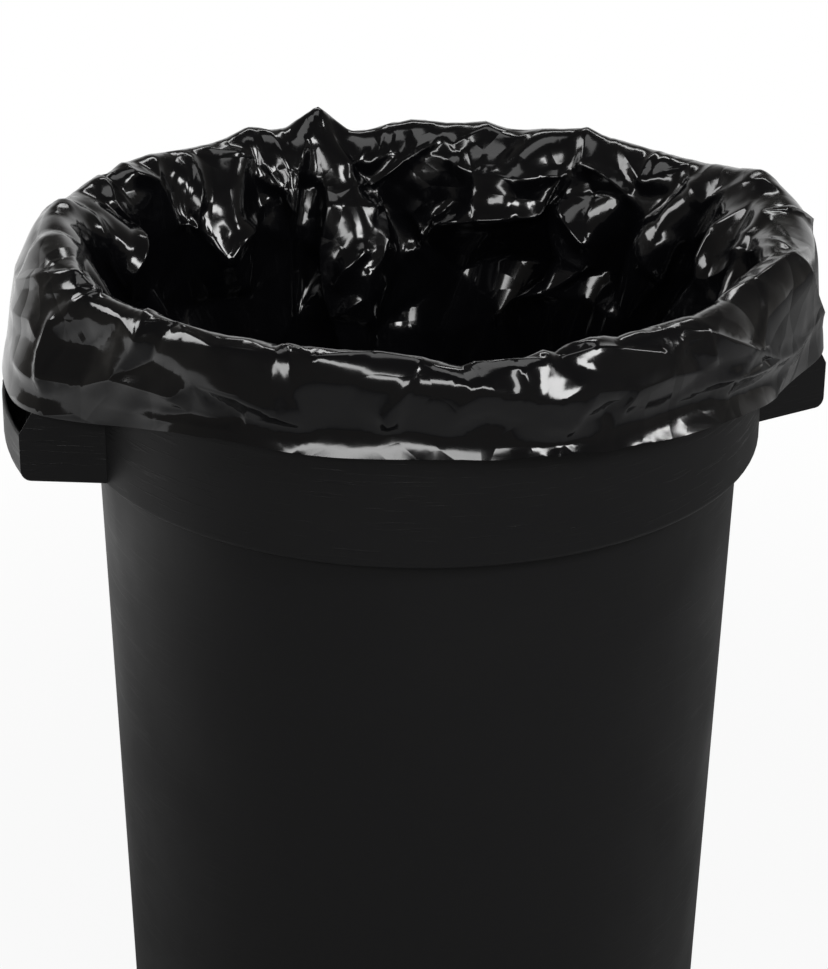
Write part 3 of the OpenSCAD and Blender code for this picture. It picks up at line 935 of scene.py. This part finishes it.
def make_film():
    """The bag's upper part: vertices, triangles, its lowest ring of vertices, and its waves."""
    rng = np.random.default_rng(SEED)
    waves = [[(n, rng.uniform(0, 6.28), rng.uniform(-2, 2)) for n in group]
             for group in ((23, 37, 53), (19, 31, 47))]
    film = None
    for around, rows, rounds, hold, stiff in LEVELS:
        goal = wanted(np.arange(around) * 360 / around, rows, waves)
        if film is None:
            film = goal + rng.normal(0, SHAKE, goal.shape)
        else:
            film = finer(film, around, rows) + rng.normal(0, LESS_SHAKE, goal.shape)
        film = relax(film, goal, rounds, hold, stiff)
    film = finer(film.astype(float), AROUND, FINE_ROWS)
    for _ in range(ROUND_PASSES):
        film = film + 0.5 * ((np.roll(film, 1, 0) + np.roll(film, -1, 0)) / 2 - film)
    for _ in range(ALL_PASSES):
        film = soften(film, 0.5)
    film = np.roll(film, -SEAM_COLUMN, 0)
    plan = folded_flat(CREASES, rng)
    found, joined = places(plan, rng)
    spots, _, faces, *_ = delaunay_2d_cdt([Vector(spot) for spot in found], joined, [], 0, 0.02)
    x, y = np.array([v.x for v in spots]), np.array([v.y for v in spots])
    faces = np.array(faces)
    centre = x[faces].mean(1)
    faces = faces[(centre >= 0) & (centre < TURN)][:, ::-1]
    used = np.unique(faces)
    own = used[(x[used] > -1e-3) & (x[used] < TURN - 1e-3)]
    stand_in = np.full(len(x), -1)
    stand_in[own] = np.arange(len(own))
    for k in used[stand_in[used] < 0]:
        gap = np.abs(x[own] - x[k] % TURN)
        gap = np.minimum(gap, TURN - gap)
        stand_in[k] = np.argmin(gap + np.abs(y[own] - y[k]))
    x, y, faces = x[own], y[own], stand_in[faces]
    a = (x / TURN * 360 + SEAM) % 360
    at, half, sooner = HEM_SOONER
    turned_out = np.maximum(y - HEM_START + sooner * hill(a, at, half) ** 0.5, 0)
    height = heights(plan, x, y) + HEM_SLOPE * turned_out * off_grip(a)
    out = on_film(normals(film), x, y)
    out /= np.linalg.norm(out, axis=1, keepdims=True)
    crest = np.argmax(film[..., 2], 1)[np.round(x / TURN * AROUND).astype(int) % AROUND]
    bag = on_film(film, x, y) + out * height[:, None]
    crest = crest * FINE / (FINE_ROWS - 1)
    tips = sum(height * clamp(1 - apart(a, at) / half) for at, half, height in TIPS)
    bag[:, 2] += tips * np.exp(-((y - crest) / 14) ** 2)
    collide(bag, y < crest)
    ring = np.nonzero(y < 0.01)[0]
    return bag, faces, ring[np.argsort(x[ring])], waves


def lower_rows(top, waves):
    """The bag below the worked part: down the wall and over the bin's floor to its middle."""
    a = np.degrees(np.arctan2(top[:, 1], top[:, 0])) % 360
    turn = np.radians(a)
    start = top[:, 2]
    corner = FLOOR_TOP + CORNER
    rows = []
    for t in np.linspace(0, 1, WALL_ROWS, endpoint=False):
        z = mix(start, corner, t)
        r = bag_radius(z) - fold_in(a, z, waves[0]) * mix(1, 0.8, t)
        rows.append((r, z))
    last = rows[-1][0]
    lumps = 3 * ripples(a, 0, LUMPS) / 2
    for t in np.linspace(0, 1, FLOOR_ROWS):
        r = mix(last, MIDDLE, t)
        rise = 22 * clamp(1 - t / 0.12) ** 2
        swell = lumps * np.sin(math.pi * clamp(t * 1.05)) * (1 + 0.5 * np.sin(9 * t + 5 * turn))
        rows.append((r, FLOOR_TOP + GAP + rise + swell + 0 * a))
    grid = np.stack([np.stack([r * np.cos(turn), r * np.sin(turn), z + 0 * a], -1)
                     for r, z in rows[1:]], 1)
    return grid[:, ::-1]


upper, triangles, ring, waves = make_film()
lower = lower_rows(upper[ring], waves)
columns, rows = lower.shape[:2]
middle = np.array([[0, 0, lower[:, 0, 2].mean()]])
bag = np.concatenate([lower.reshape(-1, 3), upper, middle]) / 1000
index = np.arange(columns * rows).reshape(columns, rows)
index = np.concatenate([index, (ring + columns * rows)[:, None]], 1)
nxt = np.roll(index, -1, 0)
faces = np.stack([index[:, :-1], index[:, 1:], nxt[:, 1:], nxt[:, :-1]], -1).reshape(-1, 4).tolist()
faces += [(int(index[i, 0]), int(nxt[i, 0]), len(bag) - 1) for i in range(columns)]
mesh = bpy.data.meshes.new("bag")
mesh.from_pydata(bag.tolist(), [], faces + (triangles + columns * rows).tolist())
mesh.update()
mesh.polygons.foreach_set("use_smooth", [True] * len(mesh.polygons))
mesh.materials.append(film_plastic())
bag_object = bpy.data.objects.new("bin_bag", mesh)
scene.collection.objects.link(bag_object)
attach(bag_object, "root")
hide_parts("bin_liner")

scene.view_settings.view_transform = "Standard"
